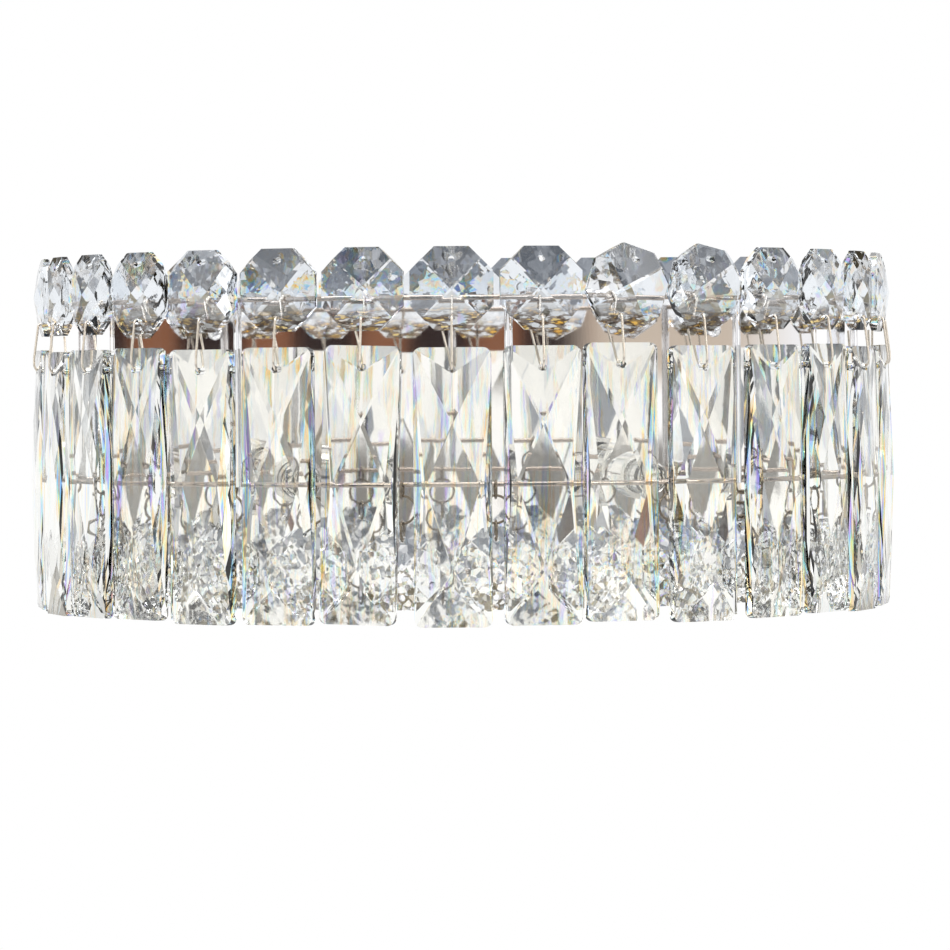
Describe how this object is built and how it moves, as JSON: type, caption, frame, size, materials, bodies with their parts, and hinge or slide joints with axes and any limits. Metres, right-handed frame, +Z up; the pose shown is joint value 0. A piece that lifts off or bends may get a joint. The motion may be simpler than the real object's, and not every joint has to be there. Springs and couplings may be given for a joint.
{
  "type": "crystal wall sconce",
  "caption": "Half-round wall light: a wire frame hung with octagon crystals and long faceted crystal plates in front of a mirror-polished back plate, with lamps between them.",
  "frame": {"origin": "on the wall plane, midway between the two wall screw holes", "axes": "+Z up, -Y out into the room, +X to the right seen from the room"},
  "size_m": [0.3382, 0.1741, 0.1374],
  "materials": {
    "octagon_crystal": "clear, faceted, polished",
    "plate_crystal": "clear, faceted, polished",
    "drop_crystal": "clear, faceted, polished",
    "hoop_wire": "pale nickel over brass wire",
    "fine_wire": "pale champagne wire",
    "frame_chrome": "bright chrome plate",
    "plate_mirror": "mirror-polished steel sheet",
    "screw_chrome": "bright chrome plate",
    "bracket_steel": "zinc grey",
    "holder_sleeve": "bright plated sleeve round a ceramic body",
    "lamp_glass": "clear capsule",
    "terminal_plastic": "white moulded plastic",
    "grommet_rubber": "black rubber"
  },
  "bodies": {
    "frame": {"octagon_01": "octagon_crystal", "octagon_02": "octagon_crystal", "octagon_03": "octagon_crystal", "octagon_04": "octagon_crystal", "octagon_05": "octagon_crystal", "octagon_06": "octagon_crystal", "octagon_07": "octagon_crystal", "octagon_08": "octagon_crystal", "octagon_09": "octagon_crystal", "octagon_10": "octagon_crystal", "octagon_11": "octagon_crystal", "octagon_12": "octagon_crystal", "octagon_13": "octagon_crystal", "octagon_14": "octagon_crystal", "octagon_15": "octagon_crystal", "octagon_16": "octagon_crystal", "top_hoop": "hoop_wire", "lower_hoop": "frame_chrome", "frame_posts": "frame_chrome", "end_straps": "frame_chrome", "hanger_wires": "fine_wire", "drop_rings": "fine_wire", "rear_octagons": "octagon_crystal", "rear_hooks": "fine_wire", "back_plate": "plate_mirror", "wall_bracket": "bracket_steel", "dome_screws": "screw_chrome", "lampholders": "holder_sleeve", "lamps": "lamp_glass", "terminal_block": "terminal_plastic", "cable_grommet": "grommet_rubber"},
    "prism_01": {"prism_01": "plate_crystal"},
    "prism_02": {"prism_02": "plate_crystal"},
    "prism_03": {"prism_03": "plate_crystal"},
    "prism_04": {"prism_04": "plate_crystal"},
    "prism_05": {"prism_05": "plate_crystal"},
    "prism_06": {"prism_06": "plate_crystal"},
    "prism_07": {"prism_07": "plate_crystal"},
    "prism_08": {"prism_08": "plate_crystal"},
    "prism_09": {"prism_09": "plate_crystal"},
    "prism_10": {"prism_10": "plate_crystal"},
    "prism_11": {"prism_11": "plate_crystal"},
    "prism_12": {"prism_12": "plate_crystal"},
    "prism_13": {"prism_13": "plate_crystal"},
    "prism_14": {"prism_14": "plate_crystal"},
    "prism_15": {"prism_15": "plate_crystal"},
    "prism_16": {"prism_16": "plate_crystal"},
    "drop_01": {"drop_01": "drop_crystal"},
    "drop_02": {"drop_02": "drop_crystal"},
    "drop_03": {"drop_03": "drop_crystal"},
    "drop_04": {"drop_04": "drop_crystal"},
    "drop_05": {"drop_05": "drop_crystal"},
    "drop_06": {"drop_06": "drop_crystal"},
    "drop_07": {"drop_07": "drop_crystal"},
    "drop_08": {"drop_08": "drop_crystal"},
    "drop_09": {"drop_09": "drop_crystal"},
    "drop_10": {"drop_10": "drop_crystal"},
    "drop_11": {"drop_11": "drop_crystal"},
    "drop_12": {"drop_12": "drop_crystal"},
    "drop_13": {"drop_13": "drop_crystal"}
  },
  "joints": [
    {"name": "prism_01_swing", "type": "hinge", "parent": "frame", "child": "prism_01", "pos_m": [-0.1642, -0.02119, 0.00713], "axis": [-0.0981, 0.9952, 0], "range_deg": [-1.2, 14]},
    {"name": "prism_02_swing", "type": "hinge", "parent": "frame", "child": "prism_02", "pos_m": [-0.15789, -0.05291, 0.00626], "axis": [-0.2904, 0.9569, 0], "range_deg": [-1.2, 14]},
    {"name": "prism_03_swing", "type": "hinge", "parent": "frame", "child": "prism_03", "pos_m": [-0.14551, -0.08279, 0.00671], "axis": [-0.4715, 0.8819, 0], "range_deg": [-1.2, 14]},
    {"name": "prism_04_swing", "type": "hinge", "parent": "frame", "child": "prism_04", "pos_m": [-0.12754, -0.10968, 0.00713], "axis": [-0.6344, 0.773, 0], "range_deg": [-1.2, 14]},
    {"name": "prism_05_swing", "type": "hinge", "parent": "frame", "child": "prism_05", "pos_m": [-0.10467, -0.13255, 0.00626], "axis": [-0.773, 0.6344, 0], "range_deg": [-1.2, 14]},
    {"name": "prism_06_swing", "type": "hinge", "parent": "frame", "child": "prism_06", "pos_m": [-0.07778, -0.15052, 0.00672], "axis": [-0.8819, 0.4714, 0], "range_deg": [-1.2, 14]},
    {"name": "prism_07_swing", "type": "hinge", "parent": "frame", "child": "prism_07", "pos_m": [-0.04789, -0.1629, 0.00712], "axis": [-0.9569, 0.2903, 0], "range_deg": [-1.2, 14]},
    {"name": "prism_08_swing", "type": "hinge", "parent": "frame", "child": "prism_08", "pos_m": [-0.01617, -0.16921, 0.00626], "axis": [-0.9952, 0.098, 0], "range_deg": [-1.2, 14]},
    {"name": "prism_09_swing", "type": "hinge", "parent": "frame", "child": "prism_09", "pos_m": [0.01617, -0.16921, 0.00673], "axis": [-0.9952, -0.098, 0], "range_deg": [-1.2, 14]},
    {"name": "prism_10_swing", "type": "hinge", "parent": "frame", "child": "prism_10", "pos_m": [0.04482, -0.16383, 0.00763], "axis": [-0.9569, -0.2903, 0], "range_deg": [-1.2, 14]},
    {"name": "prism_11_swing", "type": "hinge", "parent": "frame", "child": "prism_11", "pos_m": [0.07587, -0.15154, 0.00648], "axis": [-0.8819, -0.4714, 0], "range_deg": [-1.2, 14]},
    {"name": "prism_12_swing", "type": "hinge", "parent": "frame", "child": "prism_12", "pos_m": [0.10467, -0.13255, 0.00673], "axis": [-0.773, -0.6344, 0], "range_deg": [-1.2, 14]},
    {"name": "prism_13_swing", "type": "hinge", "parent": "frame", "child": "prism_13", "pos_m": [0.12754, -0.10968, 0.00711], "axis": [-0.6344, -0.773, 0], "range_deg": [-1.2, 14]},
    {"name": "prism_14_swing", "type": "hinge", "parent": "frame", "child": "prism_14", "pos_m": [0.14551, -0.08279, 0.00625], "axis": [-0.4715, -0.8819, 0], "range_deg": [-1.2, 14]},
    {"name": "prism_15_swing", "type": "hinge", "parent": "frame", "child": "prism_15", "pos_m": [0.15789, -0.05291, 0.00674], "axis": [-0.2904, -0.9569, 0], "range_deg": [-1.2, 14]},
    {"name": "prism_16_swing", "type": "hinge", "parent": "frame", "child": "prism_16", "pos_m": [0.1642, -0.02119, 0.00711], "axis": [-0.0981, -0.9952, 0], "range_deg": [-1.2, 14]},
    {"name": "drop_01_swing", "type": "hinge", "parent": "frame", "child": "drop_01", "pos_m": [-0.14853, -0.04313, -0.0546], "axis": [-0.2487, 0.9686, 0], "range_deg": [-16, 1.2]},
    {"name": "drop_02_swing", "type": "hinge", "parent": "frame", "child": "drop_02", "pos_m": [-0.13664, -0.07462, -0.0546], "axis": [-0.454, 0.891, 0], "range_deg": [-16, 1.2]},
    {"name": "drop_03_swing", "type": "hinge", "parent": "frame", "child": "drop_03", "pos_m": [-0.11816, -0.10275, -0.0546], "axis": [-0.6374, 0.7705, 0], "range_deg": [-16, 1.2]},
    {"name": "drop_04_swing", "type": "hinge", "parent": "frame", "child": "drop_04", "pos_m": [-0.09399, -0.12617, -0.0546], "axis": [-0.7901, 0.6129, 0], "range_deg": [-16, 1.2]},
    {"name": "drop_05_swing", "type": "hinge", "parent": "frame", "child": "drop_05", "pos_m": [-0.06529, -0.14375, -0.0546], "axis": [-0.9048, 0.4258, 0], "range_deg": [-16, 1.2]},
    {"name": "drop_06_swing", "type": "hinge", "parent": "frame", "child": "drop_06", "pos_m": [-0.03345, -0.15465, -0.0546], "axis": [-0.9759, 0.2181, 0], "range_deg": [-16, 1.2]},
    {"name": "drop_07_swing", "type": "hinge", "parent": "frame", "child": "drop_07", "pos_m": [0, -0.15835, -0.0546], "axis": [-1, 0, 0], "range_deg": [-16, 1.2]},
    {"name": "drop_08_swing", "type": "hinge", "parent": "frame", "child": "drop_08", "pos_m": [0.03345, -0.15465, -0.0546], "axis": [-0.9759, -0.2181, 0], "range_deg": [-16, 1.2]},
    {"name": "drop_09_swing", "type": "hinge", "parent": "frame", "child": "drop_09", "pos_m": [0.06529, -0.14375, -0.0546], "axis": [-0.9048, -0.4258, 0], "range_deg": [-16, 1.2]},
    {"name": "drop_10_swing", "type": "hinge", "parent": "frame", "child": "drop_10", "pos_m": [0.09399, -0.12617, -0.0546], "axis": [-0.7901, -0.6129, 0], "range_deg": [-16, 1.2]},
    {"name": "drop_11_swing", "type": "hinge", "parent": "frame", "child": "drop_11", "pos_m": [0.11816, -0.10275, -0.0546], "axis": [-0.6374, -0.7705, 0], "range_deg": [-16, 1.2]},
    {"name": "drop_12_swing", "type": "hinge", "parent": "frame", "child": "drop_12", "pos_m": [0.13664, -0.07462, -0.0546], "axis": [-0.454, -0.891, 0], "range_deg": [-16, 1.2]},
    {"name": "drop_13_swing", "type": "hinge", "parent": "frame", "child": "drop_13", "pos_m": [0.14853, -0.04313, -0.0546], "axis": [-0.2487, -0.9686, 0], "range_deg": [-16, 1.2]}
  ]
}
